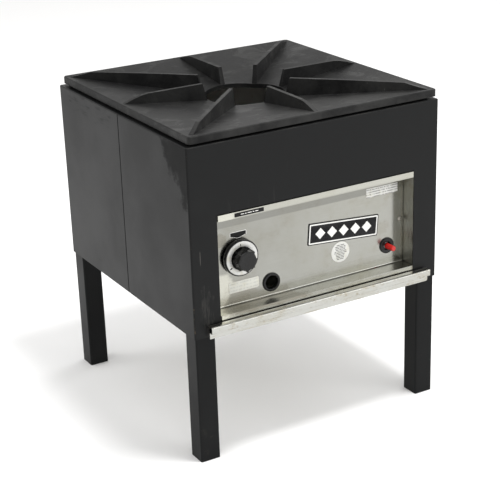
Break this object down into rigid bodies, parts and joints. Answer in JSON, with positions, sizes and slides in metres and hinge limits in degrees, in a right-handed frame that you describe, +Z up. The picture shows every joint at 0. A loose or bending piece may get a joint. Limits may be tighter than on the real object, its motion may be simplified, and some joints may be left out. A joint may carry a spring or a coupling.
{
  "type": "gas stock pot stove",
  "caption": "Free-standing gas stove for a stock pot: painted steel cabinet on square legs, loose ribbed cast top, recessed control panel and pull-out drip tray.",
  "frame": {"origin": "on the floor under the middle of the overall box", "axes": "+X to the right seen from the front, -Y out of the front face, +Z up"},
  "size_m": [0.508, 0.541, 0.6036],
  "materials": {
    "painted_sheet": "satin black baked paint",
    "painted_legs": "satin black paint",
    "cast_top": "matte black cast surface",
    "frame_steel": "dull black paint over mill steel",
    "liner_steel": "heat-stained sheet steel",
    "screws": "zinc-plated",
    "burner_iron": "sooty cast iron",
    "shutter_steel": "plain sheet steel",
    "brass": "dull brass",
    "valve_casting": "die cast",
    "black_pipe": "black iron pipe",
    "bright_tube": "soft drawn tube",
    "copper_lead": "copper capillary",
    "panel_steel": "brushed stainless, worn",
    "tray_steel": "stainless with baked stains",
    "rail_steel": "galvanised",
    "black_plastic": "moulded phenolic",
    "stem_steel": "turned steel",
    "dial_metal": "satin foil",
    "red_plastic": "glossy red",
    "badge": "gloss black with a white frame",
    "foil_label": "satin foil sticker",
    "paper_label": "aged cream sticker",
    "black_label": "printed black"
  },
  "bodies": {
    "cabinet": {"front_wrap": "painted_sheet", "rear_wrap": "painted_sheet", "leg_front_left": "painted_legs", "leg_front_right": "painted_legs", "leg_rear_left": "painted_legs", "leg_rear_right": "painted_legs", "leg_end_caps": "painted_legs", "top_rail_front": "frame_steel", "top_rail_right": "frame_steel", "top_rail_rear": "frame_steel", "top_rail_left": "frame_steel", "burner_rail_front": "frame_steel", "burner_rail_rear": "frame_steel", "burner_bar_left": "frame_steel", "burner_bar_right": "frame_steel", "pipe_bracket": "frame_steel", "liner_front": "liner_steel", "liner_right": "liner_steel", "liner_rear": "liner_steel", "liner_left": "liner_steel", "liner_screws": "screws", "panel_screws": "screws", "burner_bolts": "screws", "burner_ring": "burner_iron", "mixing_tube": "burner_iron", "pilot_bracket": "shutter_steel", "orifice_holder": "brass", "burner_valve": "brass", "tube_nuts": "brass", "pilot_burner": "brass", "safety_valve": "valve_casting", "gas_inlet_pipe": "black_pipe", "manifold_tube": "bright_tube", "gas_supply_tube": "bright_tube", "pilot_tube": "bright_tube", "thermocouple_lead": "copper_lead", "control_panel": "panel_steel", "panel_cheek_left": "panel_steel", "panel_cheek_right": "panel_steel", "tray_rail_left": "rail_steel", "tray_rail_right": "rail_steel", "sight_bushing": "black_plastic", "button_bushing": "black_plastic", "badge_plate": "badge", "round_label": "foil_label", "serial_label": "foil_label", "rating_label": "paper_label", "strip_label": "black_label", "dial_pointer": "black_label"},
    "cast_top": {"top_grate": "cast_top"},
    "drip_pan": {"drip_tray": "tray_steel", "tray_handle": "tray_steel"},
    "burner_knob": {"gas_knob": "black_plastic", "valve_stem": "stem_steel", "dial_ring": "dial_metal"},
    "pilot_button": {"safety_button": "red_plastic", "button_stem": "stem_steel"},
    "shutter": {"air_shutter": "shutter_steel"}
  },
  "joints": [
    {"name": "top_lift", "type": "slide", "parent": "cabinet", "child": "cast_top", "axis": [0, 0, 1], "range_m": [0, 0.12]},
    {"name": "tray_pull", "type": "slide", "parent": "cabinet", "child": "drip_pan", "axis": [0, -1, 0], "range_m": [0, 0.4]},
    {"name": "knob_turn", "type": "hinge", "parent": "cabinet", "child": "burner_knob", "pos_m": [-0.1455, -0.2331, 0.356], "axis": [0, -1, 0], "range_deg": [0, 236]},
    {"name": "button_press", "type": "slide", "parent": "cabinet", "child": "pilot_button", "axis": [0, 1, 0], "range_m": [0, 0.005], "stiffness_N_per_m": 600},
    {"name": "shutter_turn", "type": "hinge", "parent": "cabinet", "child": "shutter", "pos_m": [0, -0.151, 0.422], "axis": [0, 1, 0], "range_deg": [-40, 40]}
  ]
}
